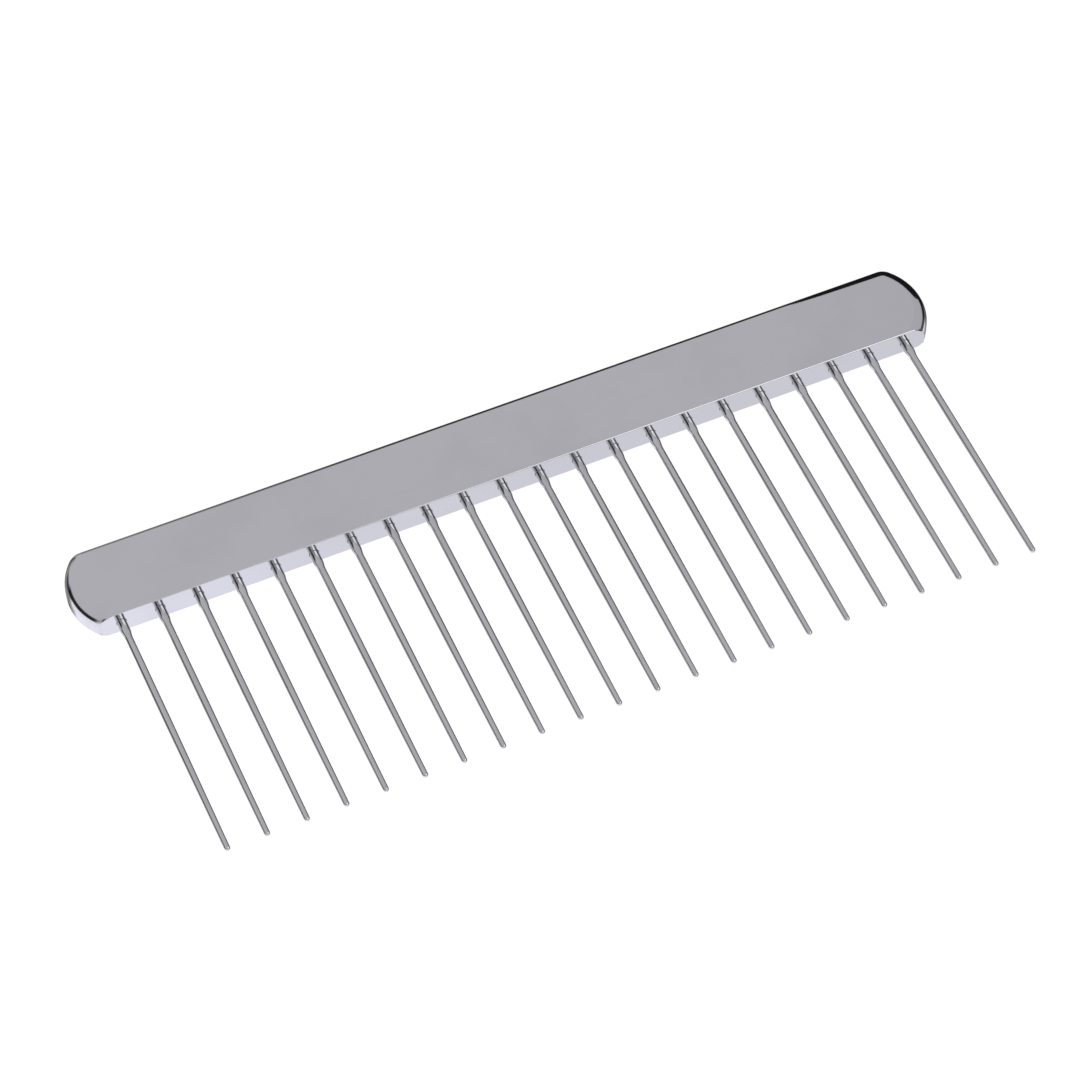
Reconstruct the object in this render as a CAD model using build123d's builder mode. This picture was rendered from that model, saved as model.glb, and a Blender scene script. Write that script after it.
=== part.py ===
"""Steel grooming comb: a flat polished spine with one row of long round tines.

The comb lies on the back of its spine, +Z up. X runs along the row of tines. The tines point
towards -Y and stand at the middle of the spine's thickness. The origin is at the middle of the
whole comb's footprint, on the surface that the spine rests on. All sizes are in millimetres.
"""

import os
from math import radians, sqrt, tan

from build123d import *

# ---- spine: the flat bar that holds the tines ----
spine_length = 194.2
spine_width = 19.05
spine_thickness = 6.35
end_radius = 13.2        # each end is one shallow arc
end_apex_shift = 0.4     # its furthest point lies this far from mid-width, towards the tines
shoulder_radius = 3.8    # where the bowed end runs into the long back edge
front_rim_radius = 2.9   # rounding of the back edge and the ends, on the front
back_rim_radius = 1.5    # the same on the back
tine_edge_radius = 0.3   # rounding round the narrow face that the tines stand on

# ---- tines: straight round pins, one row ----
tine_count = 22
end_margin = 8.2         # from each end of the spine to the axis of its outermost tine
root_diameter = 2.06     # the thick root: held in the spine, and its first stretch outside
root_free_length = 2.3   # how far the thick root stands out of the spine
neck_length = 2.2        # where the root narrows to the tine
tine_diameter = 1.52
tine_free_length = 60.2  # from the spine's edge to the tip
taper_length = 33.8      # last stretch, where the tine narrows towards its tip
tip_diameter = 1.2
tine_seat_length = 12.0  # held inside the spine
seat_chamfer = 0.2       # lead-in on the buried end

# ---- holes in the spine ----
drive_fit = 0.0            # hole diameter minus root diameter: the two share one size
hole_bottom_clearance = 0.5
drill_point_angle = 118.0
mouth_chamfer = 0.15       # small break round each hole's mouth
mouth_chamfer_angle = 90.0

# ---- places worked out from the sizes ----
comb_depth = spine_width + tine_free_length
tine_edge_y = tine_free_length - comb_depth / 2
back_edge_y = tine_edge_y + spine_width
tip_y = tine_edge_y - tine_free_length
mid_height = spine_thickness / 2
tine_pitch = (spine_length - 2 * end_margin) / (tine_count - 1)
tine_places = [(i - (tine_count - 1) / 2) * tine_pitch for i in range(tine_count)]

root_radius = root_diameter / 2
hole_radius = root_radius + drive_fit / 2
hole_depth = tine_seat_length + hole_bottom_clearance
drill_point_length = hole_radius / tan(radians(drill_point_angle / 2))

# Looking at the tine edge from the tips: x along the comb, z out of the spine.
tine_edge_plane = Plane(origin=(0, tine_edge_y, mid_height), x_dir=(1, 0, 0), z_dir=(0, -1, 0))


def blank_outline():
    """Outline of the spine before its tine edge is cut: a bowed arc rounds each end.

    Past the tine edge each arc runs on as a straight line, down to a lower edge that the cut
    takes away, so the rim can be rounded all the way round before that edge is cut.
    """
    half_length = spine_length / 2
    arc_x = half_length - end_radius
    arc_y = tine_edge_y + spine_width / 2 - end_apex_shift
    low_x = arc_x + sqrt(end_radius**2 - (arc_y - tine_edge_y) ** 2)
    high_x = arc_x + sqrt(end_radius**2 - (back_edge_y - arc_y) ** 2)
    cut_depth = front_rim_radius + back_rim_radius + tine_edge_radius
    with BuildLine() as outline:
        end_arc = ThreePointArc(
            (low_x, tine_edge_y),
            (half_length, arc_y),
            (high_x, back_edge_y),
        )
        end_slope = end_arc % 0
        low_corner = end_arc @ 0 - end_slope * (cut_depth / end_slope.Y)
        Line(end_arc @ 0, low_corner)
        mirror(about=Plane.YZ)
        Line(low_corner, (-low_corner.X, low_corner.Y))
        Line(end_arc @ 1, (-high_x, back_edge_y))
    return outline.line


def build_spine():
    """The solid bar with its rounded rim and one blind drilled hole for each tine."""
    with BuildPart() as spine:
        with BuildSketch():
            add(blank_outline())
            make_face()
            corners = vertices().group_by(Axis.Y)
            fillet(corners[0] + corners[-1], radius=shoulder_radius)
        extrude(amount=spine_thickness)
        fillet(edges().group_by(Axis.Z)[-1], radius=front_rim_radius)
        fillet(edges().group_by(Axis.Z)[0], radius=back_rim_radius)

        # The narrow face that the tines stand on is cut, then rounded all the way round.
        split(bisect_by=tine_edge_plane, keep=Keep.BOTTOM)
        tine_edge_face = faces().sort_by(Axis.Y)[0]
        fillet(tine_edge_face.edges(), radius=tine_edge_radius)

        with Locations(tine_edge_plane):
            with GridLocations(tine_pitch, 0, tine_count, 1):
                CounterSinkHole(
                    radius=hole_radius,
                    counter_sink_radius=hole_radius + mouth_chamfer,
                    depth=hole_depth,
                    counter_sink_angle=mouth_chamfer_angle,
                )
        with Locations(tine_edge_plane.offset(-hole_depth - drill_point_length / 2)):
            with GridLocations(tine_pitch, 0, tine_count, 1):
                Cone(
                    bottom_radius=0,
                    top_radius=hole_radius,
                    height=drill_point_length,
                    mode=Mode.SUBTRACT,
                )
    return spine.part


def build_tine(place_x):
    """One tine at place_x: a thick root in its hole, a neck, a long slight taper, a round tip."""
    radius = tine_diameter / 2
    tip_radius = tip_diameter / 2
    seat_y = tine_edge_y + tine_seat_length
    neck_y = tine_edge_y - root_free_length
    taper_start_y = tip_y + taper_length
    with BuildPart() as tine:
        with BuildSketch(Plane.XY.offset(mid_height)):
            with BuildLine():
                Polyline(
                    (place_x, tip_y),
                    (place_x, seat_y),
                    (place_x + root_radius - seat_chamfer, seat_y),
                    (place_x + root_radius, seat_y - seat_chamfer),
                    (place_x + root_radius, neck_y),
                    (place_x + radius, neck_y - neck_length),
                    (place_x + radius, taper_start_y),
                    (place_x + tip_radius, tip_y + tip_radius),
                )
                RadiusArc(
                    (place_x + tip_radius, tip_y + tip_radius),
                    (place_x, tip_y),
                    tip_radius,
                )
            make_face()
        revolve(axis=Axis((place_x, 0, mid_height), (0, 1, 0)))
    return tine.part


os.makedirs("parts", exist_ok=True)

spine_part = build_spine()
spine_part.label = "spine"
export_step(spine_part, "parts/spine.step")

for number, tine_x in enumerate(tine_places, start=1):
    tine_part = build_tine(tine_x)
    tine_part.label = f"tine_{number:02d}"
    export_step(tine_part, f"parts/{tine_part.label}.step")
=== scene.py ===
"""Steel grooming comb: the visual model, its studio and its camera.

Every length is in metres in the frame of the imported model: X along the row of tines, Y from
the tips towards the back of the spine, Z up out of the front face.
"""

import logging
from dataclasses import dataclass, field
from enum import Enum
from math import asin, atan2, cos, pi, radians, sin, sqrt, tan
from typing import Callable, Iterable, Iterator

import bpy
from mathutils import Matrix, Vector


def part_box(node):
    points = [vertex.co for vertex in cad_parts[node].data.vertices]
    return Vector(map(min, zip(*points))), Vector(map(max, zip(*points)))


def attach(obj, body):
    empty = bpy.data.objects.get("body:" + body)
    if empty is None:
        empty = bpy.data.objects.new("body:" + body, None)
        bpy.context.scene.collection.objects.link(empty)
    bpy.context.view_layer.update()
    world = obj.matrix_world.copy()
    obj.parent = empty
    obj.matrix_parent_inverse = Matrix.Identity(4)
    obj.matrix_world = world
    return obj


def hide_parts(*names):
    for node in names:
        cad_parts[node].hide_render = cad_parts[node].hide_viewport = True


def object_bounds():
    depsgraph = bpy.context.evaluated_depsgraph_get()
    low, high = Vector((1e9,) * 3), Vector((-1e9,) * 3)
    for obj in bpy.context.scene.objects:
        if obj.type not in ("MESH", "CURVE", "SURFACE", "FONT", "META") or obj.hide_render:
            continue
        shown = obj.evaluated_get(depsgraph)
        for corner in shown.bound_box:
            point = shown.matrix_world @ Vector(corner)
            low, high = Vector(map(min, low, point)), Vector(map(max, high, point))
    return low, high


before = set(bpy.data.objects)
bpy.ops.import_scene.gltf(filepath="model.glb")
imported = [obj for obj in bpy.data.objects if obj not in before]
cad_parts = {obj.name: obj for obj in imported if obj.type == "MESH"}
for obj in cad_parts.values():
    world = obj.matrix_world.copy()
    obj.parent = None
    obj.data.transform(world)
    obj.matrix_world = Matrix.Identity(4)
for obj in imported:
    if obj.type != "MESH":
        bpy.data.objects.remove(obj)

MM = 0.001
CAD_LOW, CAD_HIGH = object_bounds()
REPORT = logging.getLogger("grooming_comb")

# How far a vertex may lie from the level, or from the point, that it is chosen by.
LEVEL_TOLERANCE = 0.001 * MM
POINT_TOLERANCE = 0.002 * MM
# A face looks along an axis when its normal reaches this far along it.
FACING = 0.9


class Lay(Enum):
    """Direction in which a piece was polished, as the stretch of its fine lines along X, Y, Z."""

    ALONG_SPINE = (1.0, 60.0, 60.0)
    ALONG_TINE = (60.0, 1.0, 60.0)


# ---------------------------------------------------------------------------------------------
# Modelling helpers
# ---------------------------------------------------------------------------------------------


def deselect_objects() -> None:
    """Leave object mode with nothing selected and nothing active."""
    if bpy.context.object and bpy.context.object.mode != "OBJECT":
        bpy.ops.object.mode_set(mode="OBJECT")
    bpy.ops.object.select_all(action="DESELECT")
    bpy.context.view_layer.objects.active = None


def activate(piece: bpy.types.Object) -> None:
    """Make one object the only selected and active one.

    Args:
        piece: the object to work on.
    """
    deselect_objects()
    piece.select_set(True)
    bpy.context.view_layer.objects.active = piece


def enter_edit(mode: str = "FACE") -> None:
    """Open the active object in edit mode with nothing selected.

    Args:
        mode: what is selected, VERT, EDGE or FACE.
    """
    bpy.ops.object.mode_set(mode="EDIT")
    bpy.ops.mesh.select_mode(type=mode)
    bpy.ops.mesh.select_all(action="DESELECT")


def select_where(piece: bpy.types.Object, mode: str, test: Callable[[object, list], bool]) -> None:
    """Select the elements of the edited mesh that pass a test, and nothing else.

    Args:
        piece: the object in edit mode.
        mode: VERT, EDGE or FACE.
        test: takes the element and the list of its corner positions.
    """
    bpy.ops.mesh.select_mode(type=mode)
    bpy.ops.mesh.select_all(action="DESELECT")
    bpy.ops.object.mode_set(mode="OBJECT")
    mesh = piece.data
    elements = {"VERT": mesh.vertices, "EDGE": mesh.edges, "FACE": mesh.polygons}[mode]
    for element in elements:
        if mode == "VERT":
            corners = [element.co]
        else:
            corners = [mesh.vertices[i].co for i in element.vertices]
        if test(element, corners):
            element.select = True
    bpy.ops.object.mode_set(mode="EDIT")


def selection_centre(piece: bpy.types.Object) -> Vector:
    """Middle of the selected vertices of the piece that is being edited.

    Args:
        piece: the object in edit mode.

    Returns:
        Their mean position.
    """
    bpy.ops.object.mode_set(mode="OBJECT")
    picked = [vertex.co for vertex in piece.data.vertices if vertex.select]
    middle = sum(picked, Vector()) / len(picked)
    bpy.ops.object.mode_set(mode="EDIT")
    return middle


def extend_ring(piece: bpy.types.Object, forward: float, ratio: float) -> None:
    """Extrude the selected ring or cap of a round piece towards -Y, and resize it.

    Args:
        piece: the object in edit mode.
        forward: how far the new ring stands from the old one.
        ratio: its size beside the old one.
    """
    bpy.ops.mesh.extrude_region_move(TRANSFORM_OT_translate={"value": (0.0, -forward, 0.0)})
    bpy.ops.transform.resize(value=(ratio, 1.0, ratio), center_override=selection_centre(piece))


def turn_normals_out() -> None:
    """Make every face of the edited mesh point outwards, and leave edit mode."""
    bpy.ops.mesh.select_all(action="SELECT")
    bpy.ops.mesh.normals_make_consistent(inside=False)
    bpy.ops.object.mode_set(mode="OBJECT")


def apply_place(piece: bpy.types.Object) -> None:
    """Move an object's place, turn and scale into its mesh.

    Args:
        piece: the object, which ends at the origin, unturned and unscaled.
    """
    activate(piece)
    bpy.ops.object.transform_apply(location=True, rotation=True, scale=True)


def copy_along_row(first: bpy.types.Object, places: list[float]) -> list[bpy.types.Object]:
    """Copy a piece to the other places of the row, each copy with its own mesh.

    Args:
        first: the piece that stands at the first place.
        places: X of every place along the row, the first one included.

    Returns:
        The first piece and its copies, in order along the row.
    """
    pieces = [first]
    for place in places[1:]:
        activate(first)
        bpy.ops.object.duplicate(linked=False)
        copy = bpy.context.object
        copy.location.x = place - places[0]
        apply_place(copy)
        pieces.append(copy)
    return pieces


def smooth_by_weight(piece: bpy.types.Object, crisp_angle: float) -> None:
    """Shade a piece smooth, with its large flats kept truly flat beside their roundings.

    Args:
        piece: the finished mesh.
        crisp_angle: edges that turn by more than this angle stay crisp.
    """
    activate(piece)
    bpy.ops.object.shade_smooth_by_angle(angle=crisp_angle)
    weighted = piece.modifiers.new("flats_stay_flat", "WEIGHTED_NORMAL")
    weighted.mode = "FACE_AREA"
    weighted.weight = 100
    weighted.keep_sharp = True
    bpy.ops.object.modifier_apply(modifier=weighted.name)


# ---------------------------------------------------------------------------------------------
# Node helpers
# ---------------------------------------------------------------------------------------------


def link(tree: bpy.types.NodeTree, source: bpy.types.NodeSocket, target: bpy.types.NodeSocket) -> None:
    """Join two sockets of one node tree.

    Args:
        tree: the tree that holds both.
        source: the output socket.
        target: the input socket.
    """
    tree.links.new(source, target)


def math_node(tree: bpy.types.NodeTree, kind: str, *values: object) -> bpy.types.NodeSocket:
    """Add a Math node and return its result.

    Args:
        tree: the tree to add it to.
        kind: the operation, such as MULTIPLY.
        values: its inputs in order, each a number or a socket.

    Returns:
        The node's output socket.
    """
    node = tree.nodes.new("ShaderNodeMath")
    node.operation = kind
    for value, socket in zip(values, node.inputs):
        if isinstance(value, bpy.types.NodeSocket):
            link(tree, value, socket)
        else:
            socket.default_value = value
    return node.outputs[0]


def smooth_step(
    tree: bpy.types.NodeTree, value: bpy.types.NodeSocket, start: float, end: float
) -> bpy.types.NodeSocket:
    """Add a soft step that rises from 0 to 1 between two values.

    Args:
        tree: the tree to add it to.
        value: the socket that the step follows.
        start: where the step is still 0.
        end: where it has reached 1, which may lie below start.

    Returns:
        The socket of the step.
    """
    node = tree.nodes.new("ShaderNodeMapRange")
    node.interpolation_type = "SMOOTHSTEP"
    link(tree, value, node.inputs["Value"])
    node.inputs["From Min"].default_value = start
    node.inputs["From Max"].default_value = end
    return node.outputs["Result"]


def mix_colour(
    tree: bpy.types.NodeTree, factor: bpy.types.NodeSocket, *colours: object
) -> bpy.types.NodeSocket:
    """Mix two colours.

    Args:
        tree: the tree to add the node to.
        factor: 0 for the first colour, 1 for the second.
        colours: the two colours, each three numbers or a socket.

    Returns:
        The socket of the mixed colour.
    """
    node = tree.nodes.new("ShaderNodeMix")
    node.data_type = "RGBA"
    link(tree, factor, node.inputs["Factor"])
    for colour, socket in zip(colours, (node.inputs["A"], node.inputs["B"])):
        if isinstance(colour, bpy.types.NodeSocket):
            link(tree, colour, socket)
        else:
            socket.default_value = (*colour, 1.0)
    return node.outputs["Result"]


def noise_node(
    tree: bpy.types.NodeTree, place: bpy.types.NodeSocket, scale: object, **settings: float
) -> bpy.types.NodeSocket:
    """Add a noise texture.

    Args:
        tree: the tree to add it to.
        place: the coordinates that it reads.
        scale: its scale, a number or a socket.
        settings: any other inputs by name, in lower case.

    Returns:
        The socket of the noise, from 0 to 1.
    """
    node = tree.nodes.new("ShaderNodeTexNoise")
    link(tree, place, node.inputs["Vector"])
    if isinstance(scale, bpy.types.NodeSocket):
        link(tree, scale, node.inputs["Scale"])
    else:
        node.inputs["Scale"].default_value = scale
    for name, value in settings.items():
        node.inputs[name.capitalize()].default_value = value
    return node.outputs["Fac"]


# ---------------------------------------------------------------------------------------------
# Finishes
# ---------------------------------------------------------------------------------------------


@dataclass(frozen=True)
class PolishGroup:
    """Shared effect of a machine-polished surface: fine lines, stray scratches, haze and ripple."""

    name: str = "machine_polish"
    line_scale: float = 900.0
    scratch_scale: float = 140.0
    ripple_scale: float = 60.0
    haze_scale: float = 45.0
    line_depth: float = 0.3
    scratch_depth: float = 0.6
    ripple_depth: float = 1.0
    scratch_edge: tuple[float, float] = (0.66, 0.72)
    haze_edge: tuple[float, float] = (0.42, 0.72)

    def tree(self) -> bpy.types.NodeTree:
        """The shader node group, built the first time it is asked for.

        Returns:
            The group, with outputs Height and Haze.
        """
        if self.name in bpy.data.node_groups:
            return bpy.data.node_groups[self.name]
        group = bpy.data.node_groups.new(self.name, "ShaderNodeTree")
        self.add_sockets(group)
        given = group.nodes.new("NodeGroupInput").outputs
        result = group.nodes.new("NodeGroupOutput").inputs

        # Lines and scratches follow the stretched coordinates, ripple and haze the plain ones.
        stretched = given["Vector"]
        plain = group.nodes.new("ShaderNodeTexCoord").outputs["Object"]
        lines = noise_node(group, stretched, given["Line Scale"], detail=3.0)
        scratches = noise_node(group, stretched, given["Scratch Scale"], detail=1.0, distortion=0.4)
        ripple = noise_node(group, plain, given["Ripple Scale"], detail=0.0)
        haze = noise_node(group, plain, given["Haze Scale"], detail=4.0, roughness=0.6)
        scratch_mask = smooth_step(group, scratches, *self.scratch_edge)
        haze_mask = smooth_step(group, haze, *self.haze_edge)

        line_height = math_node(group, "MULTIPLY", lines, given["Line Depth"])
        scratch_height = math_node(group, "MULTIPLY", scratch_mask, given["Scratch Depth"])
        ripple_height = math_node(group, "MULTIPLY", ripple, given["Ripple Depth"])
        fine_height = math_node(group, "SUBTRACT", line_height, scratch_height)
        link(group, math_node(group, "ADD", fine_height, ripple_height), result["Height"])
        link(group, math_node(group, "MAXIMUM", haze_mask, scratch_mask), result["Haze"])
        return group

    def add_sockets(self, group: bpy.types.NodeTree) -> None:
        """Give the group its named inputs and outputs.

        Args:
            group: the new, empty group.
        """
        sockets = group.interface
        sockets.new_socket("Vector", in_out="INPUT", socket_type="NodeSocketVector")
        for label, value in (
            ("Line Scale", self.line_scale),
            ("Scratch Scale", self.scratch_scale),
            ("Ripple Scale", self.ripple_scale),
            ("Haze Scale", self.haze_scale),
            ("Line Depth", self.line_depth),
            ("Scratch Depth", self.scratch_depth),
            ("Ripple Depth", self.ripple_depth),
        ):
            socket = sockets.new_socket(label, in_out="INPUT", socket_type="NodeSocketFloat")
            socket.default_value = value
        for label in ("Height", "Haze"):
            sockets.new_socket(label, in_out="OUTPUT", socket_type="NodeSocketFloat")


@dataclass(frozen=True)
class PolishedSteel:
    """Bright polished steel, with fine polishing lines that run one way."""

    name: str
    slot: str
    lay: Lay
    bright: tuple[float, float, float]
    dull: tuple[float, float, float]
    roughness: float
    haze_roughness: float
    bump: float

    def material(self) -> bpy.types.Material:
        """The material, built the first time it is asked for.

        Returns:
            The shared material of this finish.
        """
        if self.name in bpy.data.materials:
            return bpy.data.materials[self.name]
        material = bpy.data.materials.new(self.name)
        material.use_nodes = True
        tree = material.node_tree
        shader = tree.nodes["Principled BSDF"]
        shader.inputs["Metallic"].default_value = 1.0

        mapping = tree.nodes.new("ShaderNodeMapping")
        mapping.inputs["Scale"].default_value = self.lay.value
        link(tree, tree.nodes.new("ShaderNodeTexCoord").outputs["Object"], mapping.inputs["Vector"])
        polish = tree.nodes.new("ShaderNodeGroup")
        polish.node_tree = PolishGroup().tree()
        link(tree, mapping.outputs["Vector"], polish.inputs["Vector"])
        haze = polish.outputs["Haze"]
        link(tree, mix_colour(tree, haze, self.bright, self.dull), shader.inputs["Base Color"])

        rough = tree.nodes.new("ShaderNodeMapRange")
        rough.inputs["To Min"].default_value = self.roughness
        rough.inputs["To Max"].default_value = self.haze_roughness
        link(tree, haze, rough.inputs["Value"])
        link(tree, rough.outputs["Result"], shader.inputs["Roughness"])

        bump = tree.nodes.new("ShaderNodeBump")
        bump.inputs["Strength"].default_value = 1.0
        bump.inputs["Distance"].default_value = self.bump
        link(tree, polish.outputs["Height"], bump.inputs["Height"])
        link(tree, bump.outputs["Normal"], shader.inputs["Normal"])
        return material

    def dress(self, piece: bpy.types.Object) -> None:
        """Give a piece this finish.

        Args:
            piece: the finished mesh object.
        """
        piece.data.materials.clear()
        piece.data.materials.append(self.material())


@dataclass(frozen=True)
class PlainSheet:
    """Even matt sheet of the studio: the floor, or a dark card."""

    name: str
    colour: tuple[float, float, float]

    def dress(self, surface: bpy.types.Object) -> None:
        """Give a surface of the studio this finish.

        Args:
            surface: the floor or the card.
        """
        material = bpy.data.materials.new(self.name)
        material.use_nodes = True
        shader = material.node_tree.nodes["Principled BSDF"]
        shader.inputs["Base Color"].default_value = (0.0, 0.0, 0.0, 1.0)
        shader.inputs["Roughness"].default_value = 1.0
        shader.inputs["Specular IOR Level"].default_value = 0.0
        shader.inputs["Emission Color"].default_value = (*self.colour, 1.0)
        shader.inputs["Emission Strength"].default_value = 1.0
        surface.data.materials.append(material)


WHITE_SHEET = PlainSheet(name="white_sheet", colour=(1.03, 1.03, 1.03))
BLACK_SHEET = PlainSheet(name="black_sheet", colour=(0.012, 0.012, 0.014))
SPINE_STEEL = PolishedSteel(
    name="polished_spine_steel",
    slot="spine_steel",
    lay=Lay.ALONG_SPINE,
    bright=(0.560, 0.558, 0.572),
    dull=(0.535, 0.533, 0.548),
    roughness=0.09,
    haze_roughness=0.16,
    bump=0.0006 * MM,
)
TINE_STEEL = PolishedSteel(
    name="polished_tine_steel",
    slot="tine_steel",
    lay=Lay.ALONG_TINE,
    bright=(0.545, 0.545, 0.545),
    dull=(0.50, 0.50, 0.50),
    roughness=0.10,
    haze_roughness=0.18,
    bump=0.0006 * MM,
)


# ---------------------------------------------------------------------------------------------
# The comb
# ---------------------------------------------------------------------------------------------


@dataclass
class TineRow:
    """The row of tines, whose sizes the holes that hold them share."""

    nodes: list[str]
    root_diameter: float = 2.06 * MM
    root_free_length: float = 2.3 * MM
    neck_length: float = 2.2 * MM
    diameter: float = 1.52 * MM
    tip_diameter: float = 1.2 * MM
    taper_length: float = 33.8 * MM
    seat_chamfer: float = 0.2 * MM
    sides: int = 32
    neck_steps: int = 4
    taper_steps: int = 4
    dome_steps: int = 6
    last_ring: float = 0.02  # the dome's last ring beside the tip, before it closes to a point
    crisp_angle: float = radians(40)

    def __post_init__(self) -> None:
        """Read the places of the tines from the frame."""
        boxes = [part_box(node) for node in self.nodes]
        self.axis_x = [(low.x + high.x) / 2 for low, high in boxes]
        first_low, first_high = boxes[0]
        self.axis_z = (first_low.z + first_high.z) / 2
        self.tip_y = first_low.y
        self.seat_y = first_high.y
        self.neck_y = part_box("spine")[0].y - self.root_free_length

    def build_first(self) -> bpy.types.Object:
        """Model the first tine in place: thick root, neck, long taper, round tip.

        Returns:
            The finished mesh object.
        """
        shank = self.seat_y - self.neck_y
        deselect_objects()
        bpy.ops.mesh.primitive_cylinder_add(
            vertices=self.sides,
            radius=self.root_diameter / 2,
            depth=shank,
            end_fill_type="NGON",
            location=(self.axis_x[0], self.seat_y - shank / 2, self.axis_z),
            rotation=(pi / 2, 0.0, 0.0),
        )
        tine = bpy.context.object
        apply_place(tine)
        enter_edit("FACE")
        select_where(tine, "FACE", lambda face, corners: face.normal.y > FACING)
        bpy.ops.mesh.bevel(offset=self.seat_chamfer, segments=1, affect="EDGES")
        select_where(tine, "FACE", lambda face, corners: face.normal.y < -FACING)
        for forward, ratio in self.rings():
            extend_ring(tine, forward, ratio)
        bpy.ops.mesh.merge(type="CENTER")
        turn_normals_out()
        smooth_by_weight(tine, self.crisp_angle)
        return tine

    def rings(self) -> Iterator[tuple[float, float]]:
        """Steps from the end of the thick root to the tip.

        Yields:
            How far each ring is moved towards the tip, and its size beside the ring before.
        """
        radius = self.diameter / 2
        tip_radius = self.tip_diameter / 2
        current = self.root_diameter / 2
        drop = current - radius
        for step in range(1, self.neck_steps + 1):
            smaller = radius + drop * (1 + cos(pi * step / self.neck_steps)) / 2
            yield self.neck_length / self.neck_steps, smaller / current
            current = smaller
        taper_start = self.tip_y + self.taper_length
        yield self.neck_y - self.neck_length - taper_start, 1.0
        run = (taper_start - self.tip_y - tip_radius) / self.taper_steps
        step_radius = (radius - tip_radius) / self.taper_steps
        for _ in range(self.taper_steps):
            smaller = current - step_radius
            yield run, smaller / current
            current = smaller
        turn = pi / 2 / self.dome_steps
        for step in range(1, self.dome_steps + 1):
            forward = tip_radius * (sin(step * turn) - sin((step - 1) * turn))
            smaller = max(tip_radius * cos(step * turn), tip_radius * self.last_ring)
            yield forward, smaller / current
            current = smaller

    def build(self) -> list[bpy.types.Object]:
        """Model one tine, copy it to every place, and dress each copy, attach it to the root body and
        hide the CAD part it stands for.

        Returns:
            The tines, in order along the row.
        """
        tines = copy_along_row(self.build_first(), self.axis_x)
        for tine, node in zip(tines, self.nodes):
            tine.name = f"polished_{node}"
            TINE_STEEL.dress(tine)
            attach(tine, "root")
            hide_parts(node)
        return tines


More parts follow.
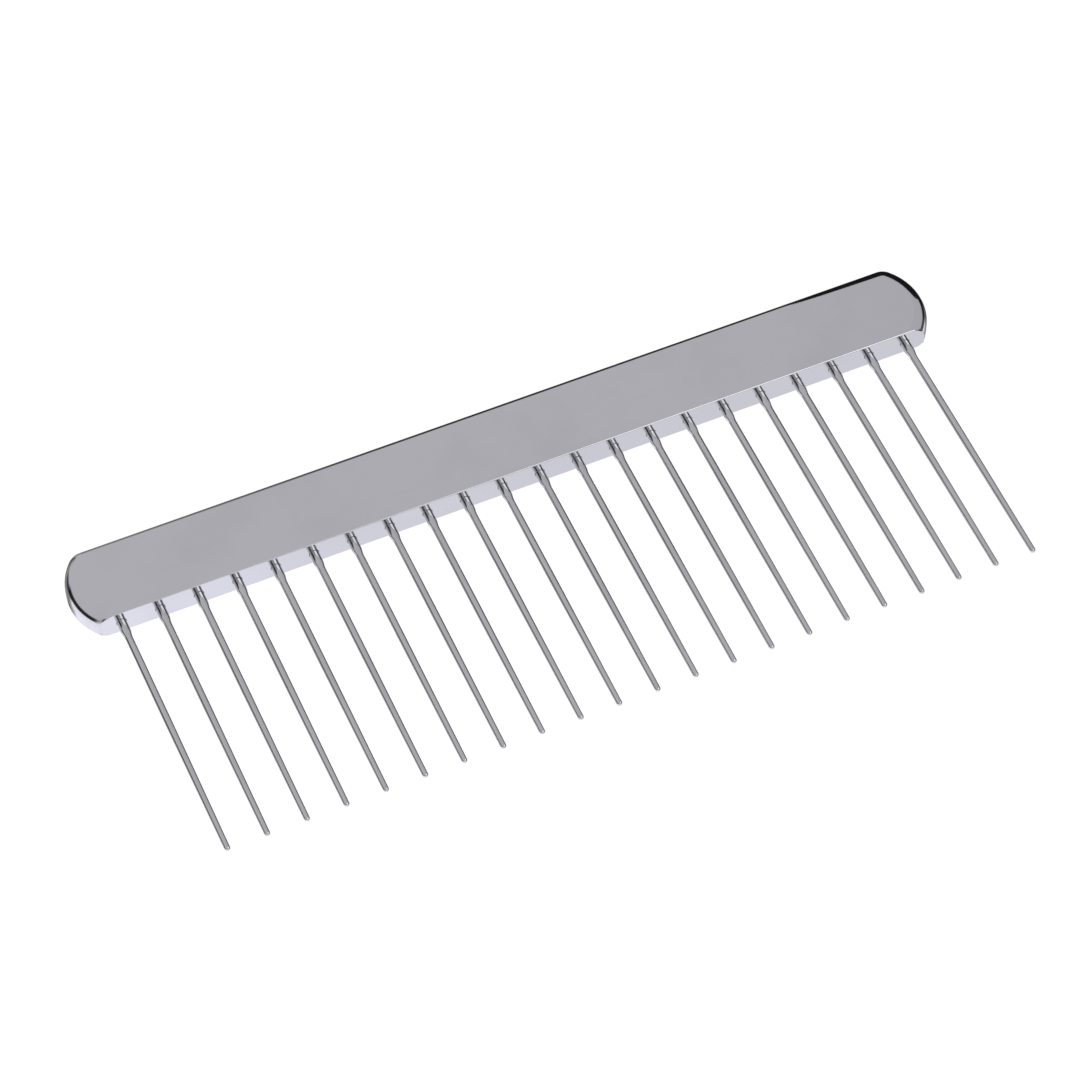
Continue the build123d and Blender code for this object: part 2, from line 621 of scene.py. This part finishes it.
@dataclass
class Spine:
    """The polished bar: bowed ends, a rounded rim and a drilled hole for each tine."""

    row: TineRow
    end_radius: float = 13.2 * MM
    end_apex_shift: float = 0.4 * MM
    shoulder_radius: float = 3.8 * MM
    front_rim_radius: float = 2.9 * MM
    back_rim_radius: float = 1.5 * MM
    edge_radius: float = 0.3 * MM
    mouth_chamfer: float = 0.15 * MM
    hole_bottom_gap: float = 0.5 * MM
    drill_point_angle: float = radians(118)
    end_steps: int = 24
    shoulder_steps: int = 9
    rim_steps: int = 14
    edge_steps: int = 4
    crisp_angle: float = radians(30)

    def __post_init__(self) -> None:
        """Read the bar's place from the frame and work out the arcs of its ends."""
        self.low, self.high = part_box("spine")
        self.thickness = self.high.z - self.low.z
        self.arc_centre = Vector(
            (
                self.high.x - self.end_radius,
                (self.low.y + self.high.y) / 2 - self.end_apex_shift,
                self.low.z,
            )
        )
        self.low_angle = asin((self.arc_centre.y - self.low.y) / self.end_radius)
        rise = self.high.y - self.shoulder_radius - self.arc_centre.y
        run = sqrt((self.end_radius - self.shoulder_radius) ** 2 - rise**2)
        self.shoulder_centre = self.arc_centre + Vector((run, rise, 0.0))
        self.shoulder_angle = atan2(rise, run)

    def arc_point(self, angle: float) -> Vector:
        """Point of the right-hand end arc.

        Args:
            angle: its angle above the +X direction, seen from the arc's centre.

        Returns:
            The point, on the bar's underside.
        """
        return self.arc_centre + self.end_radius * Vector((cos(angle), sin(angle), 0.0))

    def build_outline(self) -> bpy.types.Object:
        """Outline of the bar as one flat face, running straight on past the tine edge.

        Returns:
            A flat object whose only face is the blank's underside.
        """
        arc_end = self.arc_point(-self.low_angle)
        slope = Vector((-sin(self.low_angle), -cos(self.low_angle), 0.0))
        below = self.front_rim_radius + self.back_rim_radius + self.edge_radius
        low_corner = arc_end + slope * (below / -slope.y)
        shoulder_start = Vector((self.shoulder_centre.x, self.high.y, self.low.z))

        blank = self.build_half_plane(shoulder_start, low_corner)
        self.spin_vertex(
            blank,
            shoulder_start,
            self.shoulder_centre,
            pi / 2 - self.shoulder_angle,
            self.shoulder_steps,
        )
        self.spin_vertex(
            blank,
            self.arc_point(self.shoulder_angle),
            self.arc_centre,
            self.shoulder_angle + self.low_angle,
            self.end_steps,
        )
        self.select_vertex(blank, arc_end)
        bpy.ops.mesh.extrude_vertices_move(TRANSFORM_OT_translate={"value": low_corner - arc_end})
        bpy.ops.mesh.select_all(action="SELECT")
        bpy.ops.mesh.remove_doubles(threshold=LEVEL_TOLERANCE)
        bpy.ops.object.mode_set(mode="OBJECT")
        self.mirror_half(blank)
        enter_edit("EDGE")
        bpy.ops.mesh.select_all(action="SELECT")
        bpy.ops.mesh.edge_face_add()
        bpy.ops.object.mode_set(mode="OBJECT")
        return blank

    def build_half_plane(self, top_corner: Vector, low_corner: Vector) -> bpy.types.Object:
        """Right half of the outline as bare edges, left open where the bowed end goes.

        Args:
            top_corner: where the long back edge meets the shoulder.
            low_corner: where the blank's straight lower edge ends.

        Returns:
            The object, in edit mode.
        """
        deselect_objects()
        bpy.ops.mesh.primitive_plane_add(size=1.0, location=(0.0, 0.0, self.low.z))
        blank = bpy.context.object
        apply_place(blank)
        enter_edit("VERT")
        places = {
            (1, 1): top_corner,
            (-1, 1): Vector((0.0, top_corner.y, self.low.z)),
            (1, -1): low_corner,
            (-1, -1): Vector((0.0, low_corner.y, self.low.z)),
        }
        for (side_x, side_y), target in places.items():
            start = Vector((side_x / 2, side_y / 2, self.low.z))
            self.select_vertex(blank, start)
            bpy.ops.transform.translate(value=target - start)
        bpy.ops.mesh.select_all(action="SELECT")
        bpy.ops.mesh.delete(type="ONLY_FACE")
        end_starts = self.arc_centre.x - self.end_radius
        select_where(blank, "EDGE", lambda edge, ends: all(end.x > end_starts for end in ends))
        bpy.ops.mesh.delete(type="EDGE")
        return blank

    def select_vertex(self, piece: bpy.types.Object, place: Vector) -> None:
        """Select the one vertex at a place.

        Args:
            piece: the object in edit mode.
            place: where the vertex is.
        """
        select_where(piece, "VERT", lambda vertex, ends: (vertex.co - place).length < POINT_TOLERANCE)

    def spin_vertex(
        self, piece: bpy.types.Object, start: Vector, centre: Vector, turn: float, steps: int
    ) -> None:
        """Spin a vertex clockwise, drawing an arc of edges.

        Args:
            piece: the object in edit mode.
            start: where the vertex is.
            centre: the middle of the arc.
            turn: how far round the arc goes.
            steps: how many edges it has.
        """
        self.select_vertex(piece, start)
        bpy.ops.mesh.spin(steps=steps, angle=turn, center=centre, axis=(0.0, 0.0, 1.0))

    def mirror_half(self, piece: bpy.types.Object) -> None:
        """Mirror the right half of the outline across X = 0.

        Args:
            piece: the object, in object mode.
        """
        activate(piece)
        mirror = piece.modifiers.new("other_half", "MIRROR")
        mirror.use_axis = (True, False, False)
        mirror.merge_threshold = POINT_TOLERANCE
        bpy.ops.object.modifier_apply(modifier=mirror.name)

    def build_bar(self) -> bpy.types.Object:
        """The bar without its holes: extruded, rounded, cut at the tine edge.

        Returns:
            The closed mesh of the bar.
        """
        bar = self.build_outline()
        activate(bar)
        enter_edit("FACE")
        bpy.ops.mesh.select_all(action="SELECT")
        bpy.ops.mesh.dissolve_faces(use_verts=False)
        bpy.ops.mesh.select_all(action="SELECT")
        bpy.ops.mesh.extrude_region_move(
            TRANSFORM_OT_translate={"value": (0.0, 0.0, self.thickness)}
        )
        bpy.ops.mesh.select_all(action="SELECT")
        bpy.ops.mesh.normals_make_consistent(inside=False)
        self.round_edges(bar, "z", self.high.z, self.front_rim_radius, self.rim_steps)
        self.round_edges(bar, "z", self.low.z, self.back_rim_radius, self.rim_steps)
        bpy.ops.mesh.select_all(action="SELECT")
        bpy.ops.mesh.bisect(
            plane_co=(0.0, self.low.y, 0.0),
            plane_no=(0.0, 1.0, 0.0),
            use_fill=True,
            clear_inner=True,
            threshold=LEVEL_TOLERANCE / 10,
        )
        self.round_edges(bar, "y", self.low.y, self.edge_radius, self.edge_steps)
        turn_normals_out()
        return bar

    def round_edges(
        self, bar: bpy.types.Object, axis: str, level: float, radius: float, steps: int
    ) -> None:
        """Round all the edges that lie at one level, with a circular profile.

        Args:
            bar: the object in edit mode.
            axis: x, y or z, the axis along which the level is measured.
            level: the coordinate that both ends of each edge share.
            radius: the radius of the rounding.
            steps: how many faces it has across.
        """
        select_where(
            bar,
            "EDGE",
            lambda edge, ends: all(abs(getattr(end, axis) - level) < LEVEL_TOLERANCE for end in ends),
        )
        bpy.ops.mesh.bevel(
            offset_type="OFFSET",
            offset=radius,
            segments=steps,
            profile=0.5,
            affect="EDGES",
            clamp_overlap=False,
        )

    def build_drill(self) -> bpy.types.Object:
        """Solid shape of all the holes: bore, drill point and the break at each mouth.

        Returns:
            One mesh with a closed shape for each tine.
        """
        radius = self.row.root_diameter / 2
        depth = self.row.seat_y + self.hole_bottom_gap - self.low.y
        point = radius / tan(self.drill_point_angle / 2)
        deselect_objects()
        bpy.ops.mesh.primitive_cylinder_add(
            vertices=self.row.sides,
            radius=radius,
            depth=depth - self.mouth_chamfer,
            end_fill_type="NGON",
            location=(
                self.row.axis_x[0],
                self.low.y + (depth + self.mouth_chamfer) / 2,
                self.row.axis_z,
            ),
            rotation=(pi / 2, 0.0, 0.0),
        )
        drill = bpy.context.object
        apply_place(drill)
        enter_edit("FACE")
        select_where(drill, "FACE", lambda face, corners: face.normal.y > FACING)
        bpy.ops.mesh.extrude_region_move(TRANSFORM_OT_translate={"value": (0.0, point, 0.0)})
        bpy.ops.mesh.merge(type="CENTER")
        select_where(drill, "FACE", lambda face, corners: face.normal.y < -FACING)
        # The mouth widens by the chamfer, and the shape runs on past the bar's edge.
        extend_ring(drill, self.mouth_chamfer, 1 + self.mouth_chamfer / radius)
        extend_ring(drill, self.mouth_chamfer, 1.0)
        turn_normals_out()
        drills = copy_along_row(drill, self.row.axis_x)
        deselect_objects()
        for each in drills:
            each.select_set(True)
        bpy.context.view_layer.objects.active = drill
        bpy.ops.object.join()
        return drill

    def build(self) -> bpy.types.Object:
        """Returns:
            The finished spine.
        """
        bar = self.build_bar()
        drill = self.build_drill()
        activate(bar)
        holes = bar.modifiers.new("tine_holes", "BOOLEAN")
        holes.operation = "DIFFERENCE"
        holes.solver = "EXACT"
        holes.object = drill
        bpy.ops.object.modifier_apply(modifier=holes.name)
        activate(drill)
        bpy.ops.object.delete()
        bar.name = "polished_spine"
        smooth_by_weight(bar, self.crisp_angle)
        SPINE_STEEL.dress(bar)
        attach(bar, "root")
        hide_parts("spine")
        return bar


# ---------------------------------------------------------------------------------------------
# Studio and camera
# ---------------------------------------------------------------------------------------------


@dataclass(frozen=True)
class DarkBand:
    """A dark part of the surroundings: a window of bearings and elevations, in degrees.

    The bearing runs from +Y towards +X.
    """

    bearing: float
    half_width: float
    low: float
    high: float
    soft: float
    strength: float

    def mask(
        self, tree: bpy.types.NodeTree, bearing: bpy.types.NodeSocket, height: bpy.types.NodeSocket
    ) -> bpy.types.NodeSocket:
        """How far the band covers each direction.

        Args:
            tree: the tree to add the nodes to.
            bearing: socket of the direction's bearing, in radians.
            height: socket of its elevation, in radians.

        Returns:
            The socket of the mask, from 0 outside the band to 1 inside it.
        """
        soft = radians(self.soft)
        half_width = radians(self.half_width)
        low = radians(self.low)
        high = radians(self.high)
        aside = math_node(tree, "ABSOLUTE", math_node(tree, "SUBTRACT", bearing, radians(self.bearing)))
        across = smooth_step(tree, aside, half_width + soft, half_width - soft)
        above = smooth_step(tree, height, low - soft / 2, low + soft / 2)
        under = smooth_step(tree, height, high + soft, high - soft)
        return math_node(tree, "MULTIPLY", across, math_node(tree, "MULTIPLY", above, under))


@dataclass(frozen=True)
class Surroundings:
    """What the steel reflects.

    A grey sky stands above the horizon. Below it, a white field lies in front and a grey one
    behind. A softbox stands high at the front right, and dark bands stand round the horizon. An
    edge is a pair of values of the direction's X, Y or Z, between which colours give way.
    """

    sky: tuple[float, float, float] = (0.735, 0.730, 0.775)
    sky_right: tuple[float, float, float] = (0.660, 0.652, 0.690)
    sky_edge: tuple[float, float] = (0.26, 0.36)
    white_left: tuple[float, float, float] = (1.27, 1.29, 1.42)
    white_right: tuple[float, float, float] = (1.04, 1.05, 1.13)
    white_edge: tuple[float, float] = (0.12, 0.24)
    grey_field: tuple[float, float, float] = (0.38, 0.38, 0.39)
    field_edge: tuple[float, float] = (0.50, 0.36)
    field_slant_left: float = 0.1    # how fast the white field's far edge recedes to the left
    field_slant_right: float = 0.25  # how fast it draws nearer to the right
    horizon_edge: tuple[float, float] = (-0.01, 0.01)
    blotch_scale: float = 30.0
    blotch_depth: float = 0.5
    softbox_direction: tuple[float, float, float] = (0.49, -0.49, 0.72)
    softbox_half_angle: float = radians(19)
    softbox_soft: float = 0.01       # half the width of its soft rim, as a cosine
    softbox_strength: float = 2.5
    seen_directly: tuple[float, float, float] = (1.05, 1.05, 1.05)
    bands: tuple[DarkBand, ...] = (
        DarkBand(bearing=-77.0, half_width=33.0, low=-14.0, high=15.0, soft=6.0, strength=0.97),
        DarkBand(bearing=-39.0, half_width=8.0, low=-18.0, high=4.0, soft=5.0, strength=0.80),
        DarkBand(bearing=-14.0, half_width=5.0, low=-80.0, high=14.0, soft=5.0, strength=0.75),
        DarkBand(bearing=37.0, half_width=28.0, low=-30.0, high=8.0, soft=4.0, strength=0.93),
        DarkBand(bearing=68.0, half_width=14.0, low=-50.0, high=6.0, soft=5.0, strength=0.55),
        DarkBand(bearing=80.0, half_width=20.0, low=-14.0, high=8.0, soft=4.0, strength=0.90),
        DarkBand(bearing=-127.0, half_width=12.0, low=10.0, high=40.0, soft=6.0, strength=0.96),
        DarkBand(bearing=116.0, half_width=16.0, low=-20.0, high=18.0, soft=5.0, strength=0.98),
    )

    def build(self) -> None:
        """Paint the scene's world, with plain white where it is seen directly."""
        world = bpy.data.worlds.new("studio")
        bpy.context.scene.world = world
        world.use_nodes = True
        tree = world.node_tree
        tree.nodes.clear()
        direction = tree.nodes.new("ShaderNodeTexCoord").outputs["Generated"]
        reflected = tree.nodes.new("ShaderNodeBackground")
        link(tree, self.add_colour(tree, direction), reflected.inputs["Color"])
        link(tree, self.add_level(tree, direction), reflected.inputs["Strength"])
        plain = tree.nodes.new("ShaderNodeBackground")
        plain.inputs["Color"].default_value = (*self.seen_directly, 1.0)
        mix = tree.nodes.new("ShaderNodeMixShader")
        output = tree.nodes.new("ShaderNodeOutputWorld")
        link(tree, tree.nodes.new("ShaderNodeLightPath").outputs["Is Camera Ray"], mix.inputs["Fac"])
        link(tree, reflected.outputs[0], mix.inputs[1])
        link(tree, plain.outputs[0], mix.inputs[2])
        link(tree, mix.outputs[0], output.inputs["Surface"])

    def split(
        self, tree: bpy.types.NodeTree, direction: bpy.types.NodeSocket
    ) -> Iterable[bpy.types.NodeSocket]:
        """Part a direction into its X, Y and Z.

        Args:
            tree: the tree to add the node to.
            direction: socket of the direction that light comes from.

        Returns:
            The three sockets.
        """
        node = tree.nodes.new("ShaderNodeSeparateXYZ")
        link(tree, direction, node.inputs[0])
        return node.outputs

    def add_level(
        self, tree: bpy.types.NodeTree, direction: bpy.types.NodeSocket
    ) -> bpy.types.NodeSocket:
        """Brightness of each direction: dark bands, softbox, and faint blotches below.

        Args:
            tree: the tree to add the nodes to.
            direction: socket of the direction that light comes from.

        Returns:
            The socket of the brightness.
        """
        x, y, z = self.split(tree, direction)
        bearing = math_node(tree, "ARCTAN2", x, y)
        height = math_node(tree, "ARCSINE", z)
        aim = tree.nodes.new("ShaderNodeVectorMath")
        aim.operation = "DOT_PRODUCT"
        aim.inputs[1].default_value = Vector(self.softbox_direction).normalized()
        link(tree, direction, aim.inputs[0])
        rim = cos(self.softbox_half_angle)
        box = smooth_step(tree, aim.outputs["Value"], rim - self.softbox_soft, rim + self.softbox_soft)
        level = math_node(tree, "MULTIPLY_ADD", box, self.softbox_strength, 1.0)
        for band in self.bands:
            covered = band.mask(tree, bearing, height)
            left = math_node(tree, "MULTIPLY_ADD", covered, -band.strength, 1.0)
            level = math_node(tree, "MULTIPLY", level, left)
        blotches = noise_node(tree, direction, self.blotch_scale, detail=1.0)
        below = smooth_step(tree, z, *reversed(self.horizon_edge))
        depth = math_node(tree, "MULTIPLY", below, self.blotch_depth)
        uneven = math_node(tree, "SUBTRACT", blotches, 0.5)
        patches = math_node(tree, "MULTIPLY_ADD", uneven, depth, 1.0)
        return math_node(tree, "MULTIPLY", level, patches)

    def add_colour(
        self, tree: bpy.types.NodeTree, direction: bpy.types.NodeSocket
    ) -> bpy.types.NodeSocket:
        """Colour of each direction: two fields below the horizon and the sky above it.

        Args:
            tree: the tree to add the nodes to.
            direction: socket of the direction that light comes from.

        Returns:
            The socket of the colour.
        """
        x, y, z = self.split(tree, direction)
        right = math_node(tree, "MAXIMUM", x, 0.0)
        left = math_node(tree, "MINIMUM", x, 0.0)
        away = math_node(tree, "MULTIPLY_ADD", right, self.field_slant_right, y)
        away = math_node(tree, "MULTIPLY_ADD", left, self.field_slant_left, away)
        ahead = smooth_step(tree, away, *self.field_edge)
        white = mix_colour(
            tree, smooth_step(tree, x, *self.white_edge), self.white_left, self.white_right
        )
        below = mix_colour(tree, ahead, self.grey_field, white)
        above = mix_colour(tree, smooth_step(tree, x, *self.sky_edge), self.sky, self.sky_right)
        return mix_colour(tree, smooth_step(tree, z, *self.horizon_edge), below, above)


@dataclass
class Studio:
    """Floor, dark card and surroundings.

    The floor is there for the camera alone, and the card for the reflections alone.
    """

    floor_size: float = 8.0
    floor_gap: float = 0.05 * MM
    card_sides: int = 48
    card_radius: float = 34 * MM
    card_centre: tuple[float, float, float] = (115 * MM, 72 * MM, 12 * MM)
    card_turn: float = radians(-30)
    surroundings: Surroundings = field(default_factory=Surroundings)

    def build(self) -> None:
        """Lay the floor, stand the card and paint the surroundings."""
        self.build_floor()
        self.build_card()
        self.surroundings.build()

    def build_floor(self) -> None:
        """Lay the white floor just below the comb."""
        deselect_objects()
        bpy.ops.mesh.primitive_plane_add(
            size=self.floor_size, location=(0.0, 0.0, CAD_LOW.z - self.floor_gap)
        )
        floor = bpy.context.object
        floor.name = "floor"
        floor.visible_glossy = False
        floor.visible_diffuse = False
        floor.visible_shadow = False
        WHITE_SHEET.dress(floor)

    def build_card(self) -> None:
        """Stand the round dark card off the comb's far right corner."""
        deselect_objects()
        bpy.ops.mesh.primitive_circle_add(
            vertices=self.card_sides,
            radius=self.card_radius,
            fill_type="NGON",
            location=self.card_centre,
            rotation=(pi / 2, 0.0, self.card_turn),
        )
        card = bpy.context.object
        apply_place(card)
        card.name = "dark_card"
        card.visible_camera = False
        card.visible_shadow = False
        BLACK_SHEET.dress(card)


@dataclass
class ProductCamera:
    """Long-lens camera that looks down on the comb from the side of its tips."""

    azimuth: float = radians(-22.333)
    elevation: float = radians(53.947)
    roll: float = radians(-1.428)
    distance: float = 0.95647
    lens: float = 154.38
    sensor: float = 36.0
    clip: tuple[float, float] = (0.05, 50.0)
    aim_offset: tuple[float, float] = (-2.65 * MM, 4.70 * MM)

    def build(self) -> bpy.types.Object:
        """Place the camera and make it the scene's.

        Returns:
            The camera object.
        """
        middle = (CAD_LOW + CAD_HIGH) / 2
        target = middle + Vector((*self.aim_offset, 0.0))
        back = Vector(
            (
                sin(self.azimuth) * cos(self.elevation),
                -cos(self.azimuth) * cos(self.elevation),
                sin(self.elevation),
            )
        )
        level = (-back).to_track_quat("-Z", "Y").to_matrix()
        data = bpy.data.cameras.new("product_camera")
        data.lens = self.lens
        data.sensor_width = self.sensor
        data.clip_start, data.clip_end = self.clip
        camera = bpy.data.objects.new("product_camera", data)
        bpy.context.scene.collection.objects.link(camera)
        turned = level @ Matrix.Rotation(self.roll, 3, "Z")
        camera.matrix_world = Matrix.Translation(target + back * self.distance) @ turned.to_4x4()
        bpy.context.scene.camera = camera
        return camera


def report_piece(piece: bpy.types.Object) -> None:
    """Write a finished piece's name and size to the log.

    Args:
        piece: the finished piece.
    """
    size = ", ".join(f"{side / MM:.2f}" for side in piece.dimensions)
    REPORT.info("%s: %s mm, %d faces", piece.name, size, len(piece.data.polygons))


def main() -> None:
    """Build the comb, the studio and the camera, in that order."""
    logging.basicConfig(level=logging.INFO, format="%(name)s %(message)s")
    tine_nodes = sorted(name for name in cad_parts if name.startswith("tine_"))
    row = TineRow(tine_nodes)
    report_piece(Spine(row).build())
    for tine in row.build():
        report_piece(tine)
    Studio().build()
    ProductCamera().build()
    bpy.context.scene.view_settings.view_transform = "Standard"


if __name__ == "__main__":
    main()
